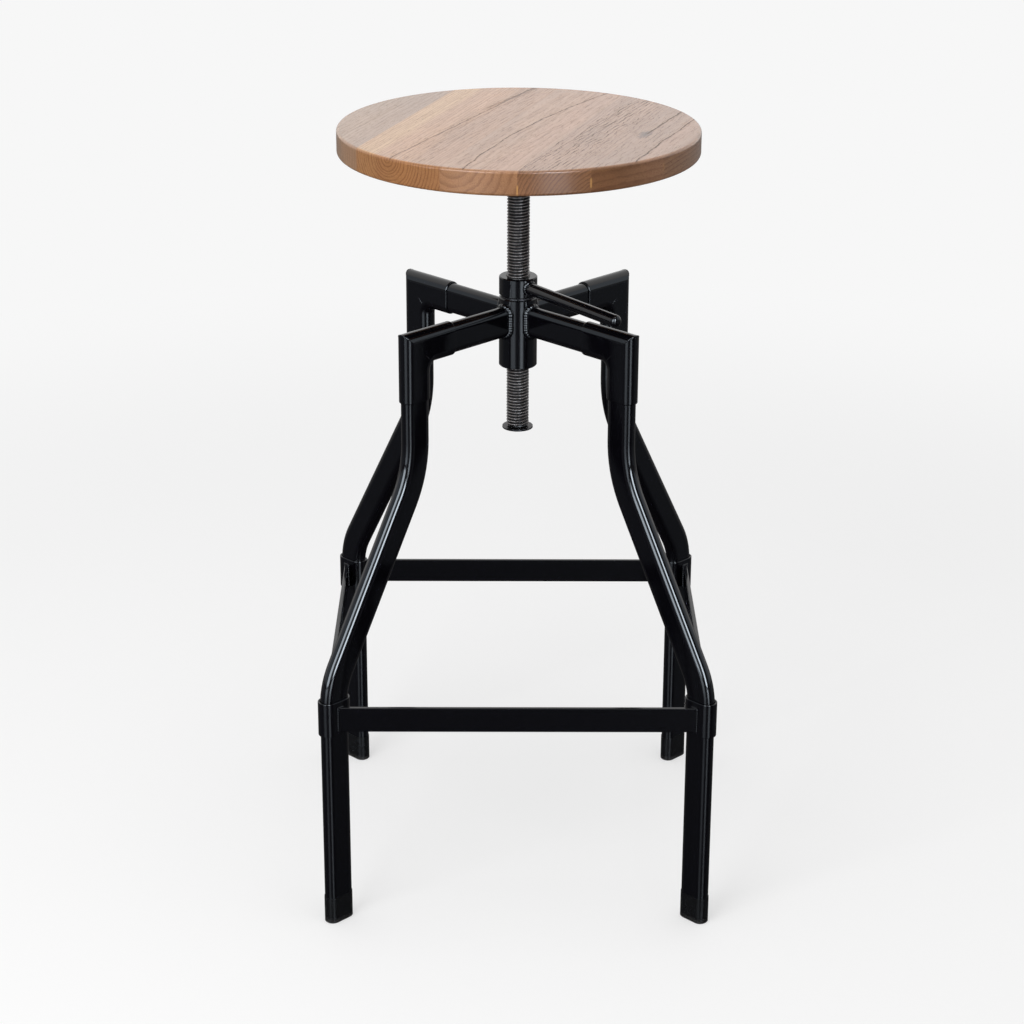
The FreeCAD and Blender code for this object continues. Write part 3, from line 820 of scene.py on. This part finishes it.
def frame_welds(material):
    """The beads of one corner of the frame, repeated at the other three."""
    bm = bmesh.new()
    low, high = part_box("arm_front_right")
    arm_height = (low[2] + high[2]) / 2
    hub_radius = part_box("hub_tube")[1][0]
    lay_bead(bm, hub_joint(arm_height, hub_radius), HUB_BEAD, closed=True)
    lay_bead(bm, elbow_joint(arm_height), ELBOW_BEAD)
    for side in (-1, 1):
        lay_bead(bm, inner_joint(arm_height, side), ELBOW_BEAD)
        lay_bead(bm, bar_joint(side), BAR_BEAD, closed=True)
    corner = bm.verts[:] + bm.edges[:] + bm.faces[:]
    for i in range(1, 4):
        copy = bmesh.ops.duplicate(bm, geom=corner)["geom"]
        copied = [item for item in copy if isinstance(item, bmesh.types.BMVert)]
        quarter_turns = Matrix.Rotation(i * math.pi / 2, 3, "Z")
        bmesh.ops.rotate(bm, verts=copied, cent=(0, 0, 0), matrix=quarter_turns)
    finish_piece(bm, "frame_weld_beads", "frame", material)


def handle_weld(material):
    """The bead round the handle where it leaves the lock nut."""
    bm = bmesh.new()
    low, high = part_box("lock_nut")
    nut_radius = high[0]
    height = low[2] + HANDLE_RISE
    path = []
    for angle in around(32):
        sideways = HANDLE_RADIUS * math.cos(angle)
        radial = math.sqrt(nut_radius ** 2 - sideways ** 2) + HANDLE_BEAD_OUT
        path.append(at_corner(HANDLE_TURN, radial, sideways, height + HANDLE_RADIUS * math.sin(angle)))
    lay_bead(bm, path, HANDLE_BEAD, closed=True)
    finish_piece(bm, "handle_weld_bead", "lock", material)


def plate_weld(material):
    """The bead round the spindle under the seat's plate."""
    bm = bmesh.new()
    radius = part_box("spindle")[1][0] - PLATE_BEAD_IN
    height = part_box("seat_plate")[0][2] - PLATE_BEAD_DOWN
    path = [Vector((radius * math.cos(angle), radius * math.sin(angle), height)) for angle in around(48)]
    lay_bead(bm, path, PLATE_BEAD, closed=True)
    finish_piece(bm, "plate_weld_bead", "seat", material)


# Room

def lay_floor():
    """A plain pale floor that takes a soft shadow and can't be seen from below."""
    bm = bmesh.new()
    bmesh.ops.create_grid(bm, x_segments=1, y_segments=1, size=FLOOR_SIZE / 2)
    mesh = bpy.data.meshes.new("floor")
    bm.to_mesh(mesh)
    bm.free()
    floor = bpy.data.objects.new("floor", mesh)
    bpy.context.scene.collection.objects.link(floor)
    material, nodes, shader, point = new_material("plain floor")
    ray = nodes.add("ShaderNodeLightPath").outputs
    seen = ray["Is Camera Ray"]
    distance = nodes.vector("LENGTH", point["Object"])
    share = nodes.ramp(distance, FLOOR_NEAR, FLOOR_FAR, FLOOR_SHARE, 0.0)
    colour = nodes.blend(ray["Is Glossy Ray"], (*FLOOR_BOUNCE, 1), (*FLOOR_MIRRORED, 1))
    colour = nodes.blend(seen, colour, nodes.combine(share, share, share))
    nodes.plug(shader.inputs["Base Color"], colour)
    glow = nodes.math("MULTIPLY_ADD", share, -FLOOR_UNSHADED, BACKDROP_WHITE)
    nodes.plug(shader.inputs["Emission Strength"], nodes.math("MULTIPLY", glow, seen))
    shader.inputs["Emission Color"].default_value = (1, 1, 1, 1)
    shader.inputs["Roughness"].default_value = FLOOR_ROUGHNESS
    gloss = nodes.math("MULTIPLY_ADD", seen, -FLOOR_GLOSS, FLOOR_GLOSS)
    nodes.plug(shader.inputs["Specular IOR Level"], gloss)
    below = nodes.add("ShaderNodeNewGeometry").outputs["Backfacing"]
    nodes.plug(shader.inputs["Alpha"], nodes.math("SUBTRACT", 1.0, below))
    mesh.materials.append(material)


def window(nodes, direction, azimuth, half_width, low, high, strength):
    """The light of one window in a mirrored direction, soft at its edges."""
    turn = math.radians(azimuth)
    level = nodes.vector("NORMALIZE", nodes.combine(direction["X"], direction["Y"], 0.0))
    facing = nodes.vector("DOT_PRODUCT", level, (math.cos(turn), math.sin(turn), 0))
    soft = math.cos(math.radians(half_width * (1 + WINDOW_BLUR)))
    full = math.cos(math.radians(half_width * (1 - WINDOW_BLUR)))
    across = nodes.ramp(facing, soft, full, 0.0, strength)
    upward = nodes.math("MULTIPLY", nodes.ramp(direction["Z"], low - 0.03, low + 0.03),
                        nodes.ramp(direction["Z"], high + 0.08, high - 0.08))
    return nodes.math("MULTIPLY", across, upward)


def light_room():
    """A white backdrop behind the stool, a dim room with windows in front, and an even ambient."""
    world = bpy.data.worlds.new("studio")
    bpy.context.scene.world = world
    world.use_nodes = True
    world.cycles.sampling_method = "NONE"
    nodes = Nodes(world.node_tree)
    ray = nodes.add("ShaderNodeLightPath").outputs
    direction = nodes.separate(nodes.add("ShaderNodeTexCoord").outputs["Generated"])
    glow = 0.0
    for pane in WINDOWS:
        glow = nodes.math("ADD", glow, window(nodes, direction, *pane))
    room = nodes.vector("MULTIPLY", WINDOW_COLOUR, nodes.combine(glow, glow, glow))
    backdrop = nodes.ramp(direction["Y"], BACKDROP_FROM, BACKDROP_TO, BACKDROP_FRONT, BACKDROP_WHITE)
    room = nodes.vector("MAXIMUM", room, backdrop)
    mirrored = nodes.math("MAXIMUM", ray["Is Glossy Ray"], ray["Is Transmission Ray"])
    colour = nodes.blend(mirrored, (ROOM_AMBIENT, ROOM_AMBIENT, ROOM_AMBIENT, 1), room)
    colour = nodes.blend(ray["Is Camera Ray"], colour, (BACKDROP_WHITE, BACKDROP_WHITE, BACKDROP_WHITE, 1))
    nodes.plug(world.node_tree.nodes["Background"].inputs["Color"], colour)
    world.node_tree.nodes["Background"].inputs["Strength"].default_value = 1.0


def area_light(name, place, aim, size, radiance):
    """A square lamp that is turned to its aim and hidden from the camera."""
    data = bpy.data.lights.new(name, "AREA")
    data.size = size
    data.energy = radiance * math.pi * size ** 2
    light = bpy.data.objects.new(name, data)
    light.location = place
    light.rotation_euler = (Vector(aim) - Vector(place)).to_track_quat("-Z", "Y").to_euler()
    light.visible_camera = False
    bpy.context.scene.collection.objects.link(light)
    return light


def add_lights():
    """A lamp overhead, and one to the left that the gloss doesn't see."""
    area_light("overhead", TOP_LIGHT_PLACE, TOP_LIGHT_AIM, TOP_LIGHT_SIZE, TOP_LIGHT_RADIANCE)
    side = area_light("side", SIDE_LIGHT_PLACE, SIDE_LIGHT_AIM, SIDE_LIGHT_SIZE, SIDE_LIGHT_RADIANCE)
    side.visible_glossy = False


def add_camera():
    """The photograph's view."""
    data = bpy.data.cameras.new("camera")
    data.lens = CAMERA_LENS
    camera = bpy.data.objects.new("camera", data)
    turn = Matrix.Rotation(CAMERA_PAN, 4, "Z") @ Matrix.Rotation(math.pi / 2 - CAMERA_DIP, 4, "X")
    camera.matrix_world = Matrix.Translation(CAMERA_PLACE) @ turn @ Matrix.Rotation(CAMERA_ROLL, 4, "Z")
    bpy.context.scene.collection.objects.link(camera)
    bpy.context.scene.camera = camera


# The stool

groups = {
    "board": board_frame_group(),
    "rings": growth_rings_group(),
    "fibre": wood_fibre_group(),
    "line": grain_line_group(),
    "comb": combed_lines_group(),
    "wear": edge_wear_group(),
    "peel": orange_peel_group(),
}
finishes = {
    "black_powder_coat": black_coat(groups),
    "thread_steel": thread_steel(),
    "screw_steel": turned_steel(groups, "zinc plated screws", srgb(150, 150, 146),
                                srgb(190, 189, 184), 0.28),
    "washer_steel": turned_steel(groups, "blackened washers", srgb(44, 43, 45),
                                 srgb(74, 72, 74), 0.25),
    "bush_steel": turned_steel(groups, "turned bushes", srgb(96, 92, 88),
                               srgb(132, 128, 122), 0.30),
    "foot_cap_plastic": cap_plastic(groups),
}
for number in BOARDS:
    finishes[f"wood_stave_{number}"] = wood(number, groups)
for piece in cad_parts.values():
    for slot in piece.material_slots:
        slot.material = finishes[slot.material.name]

threaded_spindle(finishes["thread_steel"])
frame_welds(finishes["black_powder_coat"])
handle_weld(finishes["black_powder_coat"])
plate_weld(finishes["black_powder_coat"])

lay_floor()
light_room()
add_lights()
add_camera()
bpy.context.scene.view_settings.view_transform = "Standard"
